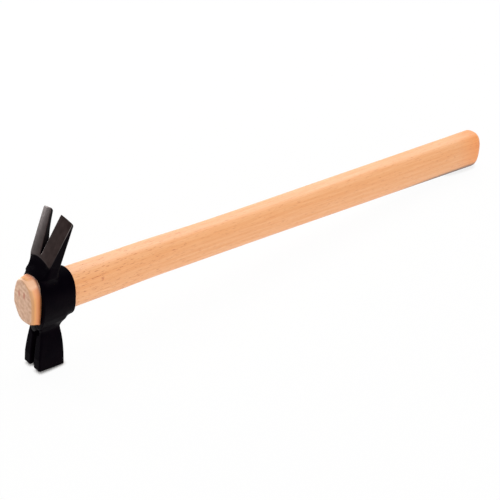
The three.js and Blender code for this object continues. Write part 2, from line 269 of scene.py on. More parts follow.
soft_box("key_box", (0.6, 0.5, 1.3), (0, 0, 0.05), 1.5, 17)
soft_box("fill_box", (-0.9, -1.8, 0.9), (-0.1, 0, 0.05), 1.2, 15.5)
soft_box("far_side_box", (-0.36, 0.98, 0.15), eye_middle, 0.42, 7)
print("three soft boxes of", [lamp.energy for lamp in bpy.data.lights], "watts")

# %% [markdown]
# The head as a distance field
#
# A forging has no sharp inner corners: every part flows into the next, because hot steel fills a die
# that way. Joining boxes and bevelling them gives seams that never look right. A distance field does.
# Each form is a formula that says how far a point lies from its surface, below zero inside. Forms are
# joined by a smooth minimum, which leaves a fillet, and cut by a smooth maximum, which eases the edge.
# So the code below can follow the making: forge the blank, grind the claws, cut the slot and groove.

# %% Rounded joins and cuts
fillet_end = 0.92


def melt(one, other, blend):
    """Joins two forms with a fillet. The blend is a little more than the fillet's radius."""
    share = np.clip(0.5 + 0.5 * (other - one) / blend, 0, 1)
    return other * (1 - share) + one * share - blend * share * (1 - share)


def meet(one, other, blend):
    """Keeps what two forms share, with the edge between them eased."""
    return -melt(-one, -other, blend)


def oval(across, up, half_width, half_height, power):
    """The distance to an oval. A power of 2 gives an ellipse, and more a squarer one."""
    wide = np.abs(across) / half_width + 1e-6
    high = np.abs(up) / half_height + 1e-6
    size = (wide ** power + high ** power) ** (1 / power)
    slope = np.hypot(wide ** (power - 1) / half_width, high ** (power - 1) / half_height)
    return (size - 1) * size ** (power - 1) / slope


def spread(way, radius):
    """How far a fillet of this radius has spread at a given way into it. It ends before it is level."""
    within = np.clip(way, 0, fillet_end * radius)
    return radius - np.sqrt(radius ** 2 - within ** 2)


print("a join with a blend of 4 mm fills its corner by", -melt(0.0, 0.0, 4.0), "mm")


# %% [markdown]
# The eye
#
# The eye is a tube of oval section that tapers towards the grip, so that the head jams on the wood as it
# is driven on. Its walls are thicker at the front mouth. The same two ovals, one inside the other, give
# the wall everywhere, and the inner one is cut out only after the block and the claws have joined.
# The outer oval is squarer in its lower half, where the steel was drawn down into the block, and at the
# rear mouth it sits half a millimetre lower than the bore.

# %% Eye and bore
clearance = 0.3
wood_width = 22
front_eye_height = 36.4
rear_eye_height = 31.6
eye_front_reach = 11.2
eye_rear_reach = 17.6
front_cheek_wall = 4
rear_cheek_wall = 2.2
front_rim_wall = 2.2
rear_rim_wall = 2
rim_ease = 1.1
wood_power = 2.6
eye_power = 2.35
lower_eye_power = 2.9
rear_hang = 0.5


def along_eye(along, at_front, at_rear):
    """A size that changes evenly from the eye's front mouth to its rear one."""
    share = (along + eye_front_reach) / (eye_front_reach + eye_rear_reach)
    return at_front + (at_rear - at_front) * share


def eye_tube(along, across, up):
    width = wood_width / 2 + clearance + along_eye(along, front_cheek_wall, rear_cheek_wall)
    height = clearance + along_eye(
        along, front_eye_height / 2 + front_rim_wall, rear_eye_height / 2 + rear_rim_wall)
    mouths = np.maximum(-eye_front_reach - along, along - eye_rear_reach)
    hung = up + along_eye(along, 0, rear_hang)
    power = np.where(hung < 0, lower_eye_power, eye_power)
    return meet(oval(across, hung, width, height, power), mouths, rim_ease)


def eye_bore(along, across, up):
    height = clearance + along_eye(along, front_eye_height / 2, rear_eye_height / 2)
    return oval(across, up, wood_width / 2 + clearance, height, wood_power)


print("the taper grips over", eye_front_reach + eye_rear_reach, "mm, from", front_eye_height,
      "to", rear_eye_height, "mm of wood")

# %% [markdown]
# The striking block
#
# Below the eye the head narrows to a neck and widens again to a square face. Seen from above it is a
# rectangle with rounded corners at every height, so its front, rear and side are written as functions of
# height, and the corners are eased more at the neck than at the face, as the die leaves them. In the
# photograph's outline its sides and rear belly out by half a millimetre between the neck and the face.

# %% Block and neck
face_depth, face_width = 21.8, 20.4
band_height, band_depth, band_width = 9, 21.4, 20
neck_drop, neck_depth, neck_width = 4.3, 15.5, 16
neck_reach = eye_half_height + neck_drop
neck_front_fillet = 9
neck_side_fillet = 26
neck_rear_thicker, neck_rear_fade = 0.8, 24
block_belly = 0.5
face_ease = 0.9
block_corner_ease = 1.3
neck_corner_ease = 2.4
neck_front_limit = eye_front_reach - 0.8
neck_side_limit = 11
block_fade, block_fade_below_top = 0.6, 3

block_heights = [-face_reach, band_height - face_reach, -neck_reach]


def block(along, across, up):
    way = up + neck_reach
    depth = np.interp(up, block_heights, [face_depth, band_depth, neck_depth]) / 2
    width = np.interp(up, block_heights, [face_width, band_width, neck_width]) / 2
    ease = np.interp(up, block_heights, [block_corner_ease, block_corner_ease, neck_corner_ease])
    front = np.minimum(face_ahead + depth + spread(way, neck_front_fillet), neck_front_limit)
    front = np.where(way > 0, front, face_ahead + depth)
    share = np.clip(-way / (block_length - band_height - neck_drop), 0, 1)
    belly = block_belly * 4 * share * (1 - share)
    side = np.minimum(width + belly + spread(way, neck_side_fillet), neck_side_limit)
    rear = depth + belly - face_ahead + neck_rear_thicker * np.clip(1 + way / neck_rear_fade, 0, 1)
    form = meet(-front - along, along - rear, ease)
    form = meet(form, np.abs(across) - side, ease)
    form = meet(form, -face_reach - up, face_ease)
    return form + block_fade * np.maximum(up + eye_half_height - block_fade_below_top, 0)


print("neck", neck_depth, "by", neck_width, "mm, striking face", face_depth, "by", face_width, "mm")

# %% [markdown]
# The claws
#
# Seen from the side the claws are a wedge that leans towards the grip, and seen from the front they
# flare. Their front is ground on a large wheel, which leaves both faces on one wide cylinder: that is
# why the two claws catch the light so differently. Below, a forged scoop leads down to the eye. The
# grinding is a cut of its own, made after the forged form, so its edges stay crisp. The line of the tips
# is a little askew in the photograph, as grinding by hand would leave it.

# %% Shank and claws
slot_bottom_ahead, slot_bottom_rise = 4.7, 14.8
slot_bottom_height = eye_half_height + slot_bottom_rise
slot_length = 33.9
slot_mouth = 10.6
claw_lean = 22.2 * degree
claw_rear_lean = 12.8 * degree
crown_radius = 55
tip_width, tip_drop, tip_thickness = 35, 1.2, 4.6
tip_bevel = 24 * degree
root_width = 25.2
root_top = eye_half_height + 10.3
shank_fade = 0.5
root_front = 5.4
scoop_top = eye_half_height + 8.8
scoop_radius = 11.2
root_rear_fillet = 6
root_corner_ease = 1.7
scoop_corner_ease, rear_corner_ease = 0.6, 0.5
ground_edge_ease = 0.4
tip_ease = 1.3
tip_skew = 0.035
grinding_stops, grinding_run_out, grinding_lift = -8, 2, 3

root_way = (root_top - slot_bottom_height) / math.cos(claw_lean)
outer_way = slot_length - tip_drop
flare = (tip_width - root_width) / 2 / (outer_way - root_way)
tip_fall = tip_drop / (tip_width / 2 - slot_mouth / 2)


def claw_place(along, up):
    """How far up the ground faces a point lies, and how deep behind their middle line."""
    ahead, rise = along + slot_bottom_ahead, up - slot_bottom_height
    way = ahead * math.sin(claw_lean) + rise * math.cos(claw_lean)
    depth = ahead * math.cos(claw_lean) - rise * math.sin(claw_lean)
    return way, depth


def claw_rear(up):
    """Where the claws' rear lies at a height."""
    tip_height = slot_bottom_height + slot_length * math.cos(claw_lean)
    tip_rear = slot_length * math.sin(claw_lean) - slot_bottom_ahead + tip_thickness / math.cos(claw_lean)
    return tip_rear - (tip_height - up) * math.tan(claw_rear_lean)


def shank(along, across, up):
    way, depth = claw_place(along, up)
    front_spread = spread(scoop_top - up, scoop_radius)
    rear_spread = spread(neck_reach - up, root_rear_fillet)
    front = np.minimum(root_front + front_spread, neck_front_limit)
    ease = root_corner_ease + np.maximum(scoop_corner_ease * front_spread, rear_corner_ease * rear_spread)
    half = np.maximum(root_width / 2, tip_width / 2 - flare * (outer_way - way))
    side = np.abs(across) - half
    form = meet(-front - along, side, ease)
    form = meet(form, (along - claw_rear(up) - rear_spread) * math.cos(claw_rear_lean), ease)
    tip_line = slot_length - tip_fall * np.maximum(np.abs(across) - slot_mouth / 2, 0) - tip_skew * across
    tip = (way + depth * math.tan(tip_bevel) - tip_line) * math.cos(tip_bevel)
    return meet(form, tip, tip_ease) + shank_fade * np.maximum(eye_half_height - up, 0)


def grinding(along, across, up):
    """The wide cylinder of the grinding wheel's path. It lets go below the ground faces."""
    way, depth = claw_place(along, up)
    wheel = np.hypot(across, depth - crown_radius) - crown_radius
    return wheel - grinding_lift * np.clip((grinding_stops - way) / grinding_run_out, 0, 1)


print("each claw flares by", round(math.atan(flare) / degree, 1), "degrees to", tip_width / 2, "mm")

# %% [markdown]
# The nail slot
#
# The slot is a V between the claws. It opens and rounds out towards the rear, so that a nail's head has
# room behind the edges that grip its shank. A point behind the front is first led back to the place on
# the front that it belongs to, and then it is compared with the slot's half width there.

# %% Slot
slot_widths = [1.2, 3.5, 5.8, 8.3, slot_mouth]
slot_flare_shares = [0.35, 0.55, 0.68, 0.75, 0.77]
slot_rise_shares = [0.8, 0.25, 0, 0, 0]
slot_flare = 45 * degree
slot_bottom_flare = 33 * degree
slot_edge_ease = 0.5
slot_floor = 20
slot_rounds = 6

slot_quarters = np.linspace(0, slot_length, len(slot_widths))
slot_halves = np.polyfit(slot_quarters, np.array(slot_widths) / 2, 2)
slot_flares = np.polyfit(slot_quarters, slot_flare_shares, 2)


def slot(along, across, up):
    way, depth = claw_place(along, up)
    behind = np.maximum(depth, 0)
    front_way = way
    for _ in range(slot_rounds):
        rise = np.interp(front_way, slot_quarters, slot_rise_shares)
        front_way = way - rise * behind * math.tan(slot_bottom_flare)
    within = np.clip(front_way, 0, slot_length)
    half = np.polyval(slot_halves, within)
    half = half + np.clip(np.polyval(slot_flares, within), 0, 1) * behind * math.tan(slot_flare)
    side = (np.abs(across) - half) * math.cos(slot_flare / 2)
    return np.maximum(meet(side, -front_way, 2 * slot_edge_ease), -slot_floor - front_way)


print("the slot's half widths", np.polyval(slot_halves, slot_quarters).round(2), "mm")

# %% [markdown]
# The nail starter
#
# A groove runs up the front of the block and ends in a round-ended recess with a rod magnet in it. A
# nail laid in the groove stays there for the first blow. The groove's floor keeps its depth below the
# sloping front, so it is measured from the front and not from a fixed plane.

# %% Groove, recess and pocket
groove_width, groove_depth = 5.2, 3.6
recess_width, recess_drop, recess_depth = 11.2, 11.1, 2.45
magnet_diameter, magnet_length, magnet_drop, magnet_proud = 6.2, 8.4, 3.3, 4.6
groove_ease, pocket_ease, bore_ease = 0.5, 0.2, 0.6
recess_floor = recess_depth - face_ahead - neck_depth / 2
magnet_height = -eye_half_height - magnet_drop
magnet_face = recess_floor - magnet_proud


def nail_starter(along, across, up):
    front = -face_ahead - np.interp(up, [-face_reach, -neck_reach], [face_depth, neck_depth]) / 2
    groove = meet(np.abs(across) - groove_width / 2, along - front - groove_depth, groove_ease)
    groove = np.maximum(groove, up + neck_reach)
    round_end = recess_width / 2 - eye_half_height - recess_drop
    outline = np.hypot(across, np.minimum(up - round_end, 0)) - recess_width / 2
    recess = meet(outline, along - recess_floor, groove_ease)
    recess = np.maximum(recess, up + eye_half_height - clearance)
    return np.minimum(groove, recess)


def pocket(along, across, up):
    hole = np.hypot(across, up - magnet_height) - magnet_diameter / 2 - clearance
    return np.maximum(hole, along - magnet_face - magnet_length - clearance)


print("recess floor at", round(recess_floor, 2), "mm, the magnet's face at", round(magnet_face, 2), "mm")

# %% [markdown]
# Putting the head together
#
# The joins are soft where steel has flowed, and tight at the rear mouth of the eye, where a wide blend
# would swell the rim. The front mouth is then faced off flat. A forged surface is never quite even, so
# the blank gets swells of a few hundredths of a millimetre before it is ground and cut. The cuts come
# last, so they stay true.

# %% The whole field
shank_blend = 5.5
neck_blend = 8.5
rear_mouth_blend = 3
rear_neck_blend = 4
blend_way = 4
front_ease = 0.8
facing_release, facing_run_out = 2, 4
forging_swell = 0.05


def unevenness(along, across, up):
    """Slow swells between -1 and 1, from waves whose lengths share no common measure."""
    return (
        np.sin(along / 2.3 + 1.1) * np.sin(across / 1.9 + 0.4) * np.sin(up / 2.9)
        + np.sin(along / 4.1) * np.sin(across / 3.7 + 2.0) * np.sin(up / 5.3 + 0.7)
    ) / 2


def head_field(along, across, up):
    inward = np.clip((eye_rear_reach - along) / blend_way, 0, 1)
    upper_blend = rear_mouth_blend + (shank_blend - rear_mouth_blend) * inward
    lower_blend = rear_neck_blend + (neck_blend - rear_neck_blend) * inward
    blank = melt(eye_tube(along, across, up), shank(along, across, up), upper_blend)
    blank = melt(blank, block(along, across, up), lower_blend)
    released = facing_release * np.clip((-neck_reach - up) / facing_run_out, 0, 1)
    facing = -eye_front_reach - released - along
    blank = meet(blank, facing, front_ease)
    blank = blank + forging_swell * unevenness(along, across, up)
    form = meet(blank, grinding(along, across, up), ground_edge_ease)
    form = meet(form, -slot(along, across, up), slot_edge_ease)
    form = meet(form, -nail_starter(along, across, up), groove_ease)
    form = meet(form, -pocket(along, across, up), pocket_ease)
    return meet(form, -eye_bore(along, across, up), bore_ease)


block_heart = (4.0, 0.0, -50.0)
print("the heart of the block lies", round(-float(head_field(*np.array(block_heart))), 1), "mm deep")

# %% [markdown]
# From field to mesh
#
# The field is sampled on a fine grid, and OpenVDB, which Blender brings with it, lays quads over the zero
# level, with one point in each grid cell that the surface passes. Where an edge runs through a cell,
# such a point lands beside it and the edge looks like a saw. So each point is placed again: the field's
# slope gives the surface's plane wherever it crosses one of the cell's twelve edges, and the point goes
# where those planes meet. Two steps of Newton's method then pull it onto the exact surface.
# A few cells have two points, because the surface passes them twice, and their planes can bring both to
# one place. That pinches the mesh there but leaves it closed.

# %% Skin the head
grid_step = 0.4
grid_low = np.array([-13.2, -18.0, -59.2])
grid_high = np.array([19.6, 18.0, 67.6])
slope_step = 0.04

counts = np.round((grid_high - grid_low) / grid_step).astype(int) + 1
axes = [low + grid_step * np.arange(count) for low, count in zip(grid_low, counts)]
field = head_field(*np.meshgrid(*axes, indexing="ij", sparse=True))
volume = openvdb.FloatGrid()
volume.copyFromArray(np.clip(field, -3 * grid_step, 3 * grid_step).astype(np.float32))
corners, triangles, quads = volume.convertToPolygons(isovalue=0.0, adaptivity=0.0)
print("grid", counts, "points", len(corners), "quads", len(quads), "triangles", len(triangles))


def field_slope(points):
    """The field and its slope at points."""
    steps = np.eye(3) * slope_step
    rises = [
        (head_field(*(points + step).T) - head_field(*(points - step).T)) / (2 * slope_step)
        for step in steps
    ]
    return head_field(*points.T), np.stack(rises, axis=1)


# %% Place each point where its cell's planes meet
least_slope = 0.1
cells = np.clip(np.floor(corners).astype(int), 0, counts - 2)
planes = np.zeros((len(cells), 3, 3))
levels = np.zeros((len(cells), 3))
middles = np.zeros((len(cells), 3))
crossings = np.zeros(len(cells))
for axis in range(3):
    others = [k for k in range(3) if k != axis]
    for corner in ((0, 0), (1, 0), (0, 1), (1, 1)):
        start = cells.copy()
        start[:, others] += corner
        end = start.copy()
        end[:, axis] += 1
        low, high = field[tuple(start.T)], field[tuple(end.T)]
        crossed = np.flatnonzero((low < 0) != (high < 0))
        share = (low / np.where(low == high, 1, low - high))[crossed]
        crossing = start[crossed].astype(float)
        crossing[:, axis] += share
        crossing = crossing * grid_step + grid_low
        level, slope = field_slope(crossing)
        slope = slope / np.maximum(np.linalg.norm(slope, axis=1, keepdims=True), least_slope)
        planes[crossed] += slope[:, :, None] * slope[:, None, :]
        levels[crossed] += slope * (crossing * slope).sum(1, keepdims=True)
        middles[crossed] += crossing
        crossings[crossed] += 1
print("a cell is crossed on", round(float(crossings.mean()), 1), "of its twelve edges on average")

# %% Solve for each cell's point
middles = middles / np.maximum(crossings, 1)[:, None]
middles = np.where(crossings[:, None] > 0, middles, corners * grid_step + grid_low)
hold = 0.02
steady = planes + hold * np.eye(3)
points = np.linalg.solve(steady, (levels + hold * middles)[:, :, None])[:, :, 0]
cell_slack = 0.1 * grid_step
cell_low = cells * grid_step + grid_low
points = np.clip(points, cell_low - cell_slack, cell_low + grid_step + cell_slack)

# %% Pull the points onto the surface
pull_rounds, pull_limit, least_slope_squared = 2, 0.3 * grid_step, 0.25
for _ in range(pull_rounds):
    level, slope = field_slope(points)
    pull = level / np.maximum((slope ** 2).sum(1), least_slope_squared)
    points = points - np.clip(pull, -pull_limit, pull_limit)[:, None] * slope
print("left over after the pull", np.abs(head_field(*points.T)).mean().round(5), "mm")

# %% [markdown]
# A mesh becomes a piece
#
# A piece keeps its place in its vertices, and its object stays at the origin. Its normals are made to
# point outwards, because both OpenVDB and a lofted grid can come out either way round.

# %% A helper for finished pieces
merge_reach = 0.0002 * MM


def finish_piece(name, points, faces, material, node):
    """Makes a smooth closed mesh from points about the eye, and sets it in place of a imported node."""
    mesh = bpy.data.meshes.new(name)
    mesh.from_pydata(to_frame(points).tolist(), [], [tuple(face) for face in faces])
    shape = bmesh.new()
    shape.from_mesh(mesh)
    bmesh.ops.remove_doubles(shape, verts=shape.verts, dist=merge_reach)
    bmesh.ops.recalc_face_normals(shape, faces=shape.faces)
    faces_at_edges = [len(edge.link_faces) for edge in shape.edges]
    open_edges = sum(count < 2 for count in faces_at_edges)
    pinched_edges = sum(count > 2 for count in faces_at_edges)
    shape.to_mesh(mesh)
    shape.free()
    mesh.shade_smooth()
    mesh.materials.append(material)
    piece = bpy.data.objects.new(name, mesh)
    scene.collection.objects.link(piece)
    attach(piece, "root")
    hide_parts(node)
    print(name, len(mesh.polygons), "faces,", open_edges, "open edges,", pinched_edges, "pinched edges")


# %% [markdown]
# Forged steel, ground and lacquered
#
# The head is drop-forged carbon steel, dipped in thin black lacquer, and then the fronts of the claws
# are ground bare. One material paints both. A mask asks how far a point lies from the grinding wheel's
# cylinder, which is the same formula that shaped the steel, so the bare metal ends exactly where the
# grinding ended. The real lines of the belt are a few hundredths of a millimetre apart, too fine to show
# here, so they are drawn about half a millimetre apart.

# %% Where the head is ground bare
material, tree = new_material("forged_steel_black_lacquer")
_, local = about_eye(tree)
claw = add(tree, "ShaderNodeMapping", {"vector_type": "TEXTURE"}, Vector=local,
           Location=(-slot_bottom_ahead, 0, slot_bottom_height), Rotation=(0, claw_lean, 0))
from_wheel = add(tree, "ShaderNodeVectorMath", {"operation": "MULTIPLY_ADD"},
                 i0=claw, i1=(1, 1, 0), i2=(-crown_radius, 0, 0))
from_wheel = add(tree, "ShaderNodeVectorMath", {"operation": "LENGTH"}, i0=from_wheel)
ground = add(tree, "ShaderNodeMapRange", Value=from_wheel.outputs["Value"],
             From_Min=crown_radius - 0.32, From_Max=crown_radius - 0.16)
claw_axes = add(tree, "ShaderNodeSeparateXYZ", Vector=claw)
above = add(tree, "ShaderNodeMath", {"operation": "GREATER_THAN"},
            i0=claw_axes.outputs["Z"], i1=grinding_stops - 1.0)
ground = add(tree, "ShaderNodeMath", {"operation": "MULTIPLY"}, i0=ground, i1=above)
print("the ground faces lie", crown_radius, "mm from the wheel's axis")

# %% [markdown]
# The two colours of the head
#
# The lacquer is almost black with a faint violet cast. The ground steel is brownish grey, with fine lines
# left by the belt. A thin bright line runs along the outer edges of the claws and grows towards the tips.
# It is a painted highlight: a pale metal colour along the edge, standing for the light that the edge
# catches.

# %% Lacquer, bare steel and painted edge highlights
belt_lines = add(tree, "ShaderNodeMapping", Vector=claw, Scale=(1.6, 1.6, 0.12))
belt_lines = add(tree, "ShaderNodeTexNoise", Vector=belt_lines, Scale=1.0, Detail=4.0, Roughness=0.7)
clouds = add(tree, "ShaderNodeTexNoise", Vector=local, Scale=0.16, Detail=3.0)
bare_steel = add(tree, "ShaderNodeValToRGB", Fac=clouds)
bare_steel.color_ramp.elements[0].position = 0.35
bare_steel.color_ramp.elements[0].color = linear("#2E2524")
bare_steel.color_ramp.elements[1].position = 0.7
bare_steel.color_ramp.elements[1].color = linear("#3A302F")
lines_shown = add(tree, "ShaderNodeMapRange", Value=belt_lines, From_Min=0.3, From_Max=0.7,
                  To_Min=0.82, To_Max=1.16)
bare_steel = add(tree, "ShaderNodeVectorMath", {"operation": "SCALE"}, i0=bare_steel, Scale=lines_shown)
lacquer = add(tree, "ShaderNodeValToRGB", Fac=clouds)
lacquer.color_ramp.elements[0].position = 0.3
lacquer.color_ramp.elements[0].color = linear("#030105")
lacquer.color_ramp.elements[1].position = 0.75
lacquer.color_ramp.elements[1].color = linear("#0B050A")
outward = add(tree, "ShaderNodeMath", {"operation": "ABSOLUTE"}, i0=claw_axes.outputs["Y"])
# Painted highlight: a pale metal colour along the claws' outer edges, stronger towards the tips.
edge_highlight_side = add(tree, "ShaderNodeMapRange", Value=outward, From_Min=11.0, From_Max=14.0)
edge_highlight_share = add(tree, "ShaderNodeMapRange", Value=from_wheel.outputs["Value"],
                From_Min=crown_radius - 0.75, From_Max=crown_radius - 0.3)
edge_highlight_share = add(tree, "ShaderNodeMath", {"operation": "MULTIPLY"}, i0=edge_highlight_share, i1=edge_highlight_side)
edge_highlight_tip = add(tree, "ShaderNodeMapRange", Value=claw_axes.outputs["Z"],
               From_Min=6.0, From_Max=28.0, To_Min=0.25)
edge_highlight_share = add(tree, "ShaderNodeMath", {"operation": "MULTIPLY"}, i0=edge_highlight_share, i1=edge_highlight_tip)
edge_highlight_share = add(tree, "ShaderNodeMath", {"operation": "MULTIPLY"}, i0=edge_highlight_share, i1=above)
painted_edge_highlight = add(tree, "ShaderNodeMath", {"operation": "SUBTRACT", "use_clamp": True},
                  i0=edge_highlight_share, i1=ground)
metal = add(tree, "ShaderNodeMath", {"operation": "MAXIMUM"}, i0=ground, i1=edge_highlight_share)
colour = add(tree, "ShaderNodeMix", {"data_type": "RGBA"}, i0=metal, i6=lacquer, i7=bare_steel)
# The painted edge highlight's pale colour.
colour = add(tree, "ShaderNodeMix", {"data_type": "RGBA"}, i0=painted_edge_highlight, i6=colour, i7=linear("#8C8583"))
print("the steel's colours take", len(tree.nodes), "nodes")

# %% [markdown]
# The head's relief and sheen
#
# The lacquer shows broad dull sheens and no sharp mirror image, so it is rather rough and reflects very
# little. Where it looks up, and inside the slot, the photograph is darker than these lamps would leave
# it. So most of the shader gives way to a black matt one there, which is painted shade. That is fitted,
# and it isn't a property of lacquer. The ground steel is metallic and smoother. The relief is the pits of
# forging scale on the one and the belt's lines on the other.

# %% Relief, sheen and the finished head
roughness = add(tree, "ShaderNodeMapRange", Value=metal, To_Min=0.42, To_Max=0.29)
forging = add(tree, "ShaderNodeTexNoise", Vector=local, Scale=0.8, Detail=3.0, Roughness=0.55)
relief = add(tree, "ShaderNodeMix", {"data_type": "FLOAT"}, i0=metal, i2=forging, i3=belt_lines)
relief_height = add(tree, "ShaderNodeMapRange", Value=metal, To_Min=0.16, To_Max=0.03)
relief = add(tree, "ShaderNodeBump", Height=relief, Distance=MM, Strength=relief_height)
shader = add(tree, "ShaderNodeBsdfPrincipled", Base_Color=colour, Metallic=metal, Roughness=roughness,
             Normal=relief, Specular_IOR_Level=0.02)
facing = add(tree, "ShaderNodeNewGeometry")
facing = add(tree, "ShaderNodeSeparateXYZ", Vector=facing.outputs["Normal"])
# Painted shade: where the lacquer faces up, and inside the slot, a black matt shader is mixed in.
looks_up = add(tree, "ShaderNodeMapRange", Value=facing.outputs["Z"], From_Min=-0.1, From_Max=0.35)
in_slot = add(tree, "ShaderNodeMapRange", Value=outward, From_Min=10.0, From_Max=7.0)
in_slot = add(tree, "ShaderNodeMath", {"operation": "MULTIPLY"}, i0=in_slot, i1=above)
painted_shade_share = add(tree, "ShaderNodeMath", {"operation": "MAXIMUM"}, i0=looks_up, i1=in_slot)
painted_shade_share = add(tree, "ShaderNodeMath", {"operation": "SUBTRACT", "use_clamp": True}, i0=painted_shade_share, i1=metal)
painted_shade_share = add(tree, "ShaderNodeMath", {"operation": "MULTIPLY"}, i0=painted_shade_share, i1=0.75)
painted_shade_black = add(tree, "ShaderNodeBsdfDiffuse", Color=linear("#040207"))
shader = add(tree, "ShaderNodeMixShader", i0=painted_shade_share, i1=shader, i2=painted_shade_black)
add(tree, "ShaderNodeOutputMaterial", Surface=shader)

finish_piece("hammer_head", points, quads, material, "head")


# %% [markdown]
# The handle's rule
#
# The handle is one stick of beech. Its section is an oval with flattened sides everywhere, and only the
# width and height change along it: a taper through the eye, a waist behind the head, a gentle swell and
# a rounded grip end. In front of the eye the wood stands out as a wider and squarer stub behind a
# shoulder. That is a rule, so a Geometry Nodes tree lofts it. The stations are a line of points that
# carry a half width, a half height and a power, which says how square the oval is, and the tree grows a
# ring round each of them. Two stations stand close together at the shoulder, so that its corner is shaded
# sharp. Wood is never quite straight either, so the lofted stick gets a bow of 0.6 mm behind the head.

# %% Stations along the handle
head_end_proud = 8.2
head_end_reach = eye_front_reach + head_end_proud
shaft_length = 424.3
grip_end_reach = eye_rear_reach + shaft_length
head_end_height = 40.4
head_end_power = 3.4
shoulder_swell = 0.6
head_end_ease = 1.4
waist_share, waist_height, waist_width = 0.314, 29, 20.2
swell_share, swell_height, swell_width = 0.68, 30.3, 20.9
grip_height, grip_width = 32.2, 21.3
grip_end_round = 7
shoulder_ring = 0.02
stick_bow, bow_middle, bow_reach = 0.6, 92, 34


def spline(share, values):
    """A smooth run through four values at even shares, as a bent batten would lie."""
    place = np.clip(share, 0, 1) * 3
    first = np.minimum(place.astype(int), 2)
    t = place - first
    padded = np.concatenate([values[:1], values, values[-1:]])
    before, start, end, after = (padded[first + k] for k in range(4))
    start_slope, end_slope = (end - before) / 2, (after - start) / 2
    bend = (2 * start - 2 * end + start_slope + end_slope) * t ** 3
    turn = (3 * end - 3 * start - 2 * start_slope - end_slope) * t ** 2
    return bend + turn + start_slope * t + start


stations = []
shoulder_width = wood_width / 2 + clearance + shoulder_swell
for inner_share in np.linspace(0, 1, 24)[:-1]:
    shrink = head_end_ease + (1 - inner_share) * (shoulder_width - head_end_ease)
    height_share = (head_end_height / 2 - head_end_ease) / (shoulder_width - head_end_ease)
    stations.append((-head_end_reach, shoulder_width - shrink, (shoulder_width - shrink) * height_share))
for turn in np.radians(np.linspace(0, 90, 9)):
    inset = head_end_ease * (1 - math.sin(turn))
    reach = -head_end_reach + head_end_ease * (1 - math.cos(turn))
    stations.append((reach, shoulder_width - inset, head_end_height / 2 - inset))
shoulder = -eye_front_reach - clearance
stub_reaches = np.linspace(-head_end_reach + head_end_ease, shoulder - shoulder_ring, 22)[1:]
for reach in [*stub_reaches, shoulder]:
    stations.append((reach, shoulder_width, head_end_height / 2))
for reach in np.linspace(shoulder + clearance / 3, eye_rear_reach, 12):
    stations.append((reach, wood_width / 2, along_eye(reach, front_eye_height, rear_eye_height) / 2))

rows = np.array([
    (0, wood_width, rear_eye_height),
    (waist_share, waist_width, waist_height),
    (swell_share, swell_width, swell_height),
    (1, grip_width, grip_height),
])
shares = np.linspace(0, 1, 150)[1:]
shaft_reaches = eye_rear_reach + spline(shares, rows[:, 0]) * (shaft_length - grip_end_round)
shaft_widths = spline(shares, rows[:, 1]) / 2
shaft_heights = spline(shares, rows[:, 2]) / 2
stations += list(zip(shaft_reaches, shaft_widths, shaft_heights))
for turn in np.radians(np.linspace(0, 90, 20))[1:]:
    inset = grip_end_round * (1 - math.cos(turn))
    reach = grip_end_reach - grip_end_round * (1 - math.sin(turn))
    stations.append((reach, grip_width / 2 - inset, grip_height / 2 - inset))
end_width, end_height = grip_width / 2 - grip_end_round, grip_height / 2 - grip_end_round
for inner_share in np.linspace(1, 0, 14)[1:]:
    stations.append((grip_end_reach, end_width * inner_share, end_height * inner_share))
stations = np.array(stations)
print(len(stations), "stations from", stations[0, 0], "to", stations[-1, 0])

# %% [markdown]
# The tree that lofts
#
# The tree lays a flat grid of points, one row for each station. A point's index says which station and
# which side of the ring it belongs to, so the tree can look up the station and bend the row into an oval.

# %% Grow a ring round each station
wood_sides = 160
ring_merge = 0.004

loft = bpy.data.node_groups.new("oval_loft", "GeometryNodeTree")
for name, kind in (("Geometry", "Geometry"), ("Sides", "Int"), ("Finish", "Material")):
    loft.interface.new_socket(name, in_out="INPUT", socket_type=f"NodeSocket{kind}")
loft.interface.new_socket("Geometry", in_out="OUTPUT", socket_type="NodeSocketGeometry")
given = add(loft, "NodeGroupInput")
size = add(loft, "GeometryNodeAttributeDomainSize", Geometry=given.outputs["Geometry"])
ring_points = add(loft, "ShaderNodeMath", i0=given.outputs["Sides"], i1=1.0)
grid = add(loft, "GeometryNodeMeshGrid", Vertices_X=size.outputs["Point Count"], Vertices_Y=ring_points)
index = add(loft, "GeometryNodeInputIndex")
station = add(loft, "ShaderNodeMath", {"operation": "DIVIDE"}, i0=index, i1=ring_points)
station = add(loft, "ShaderNodeMath", {"operation": "FLOOR"}, i0=station)
side = add(loft, "ShaderNodeMath", {"operation": "MODULO"}, i0=index, i1=ring_points)
turn = add(loft, "ShaderNodeMath", {"operation": "DIVIDE"}, i0=side, i1=given.outputs["Sides"])
turn = add(loft, "ShaderNodeMath", {"operation": "MULTIPLY"}, i0=turn, i1=2 * math.pi)
place = add(loft, "GeometryNodeInputPosition")
reach = add(loft, "GeometryNodeSampleIndex", {"data_type": "FLOAT_VECTOR"},
            Geometry=given.outputs["Geometry"], Value=place, Index=station)
reach = add(loft, "ShaderNodeSeparateXYZ", Vector=reach)
sampled = {}
for attribute in ("half_width", "half_height", "power"):
    named = add(loft, "GeometryNodeInputNamedAttribute", {"data_type": "FLOAT"}, Name=attribute)
    sampled[attribute] = add(loft, "GeometryNodeSampleIndex", {"data_type": "FLOAT"},
                             Geometry=given.outputs["Geometry"], Value=named, Index=station)
exponent = add(loft, "ShaderNodeMath", {"operation": "DIVIDE"}, i0=2.0, i1=sampled["power"])
ways = []
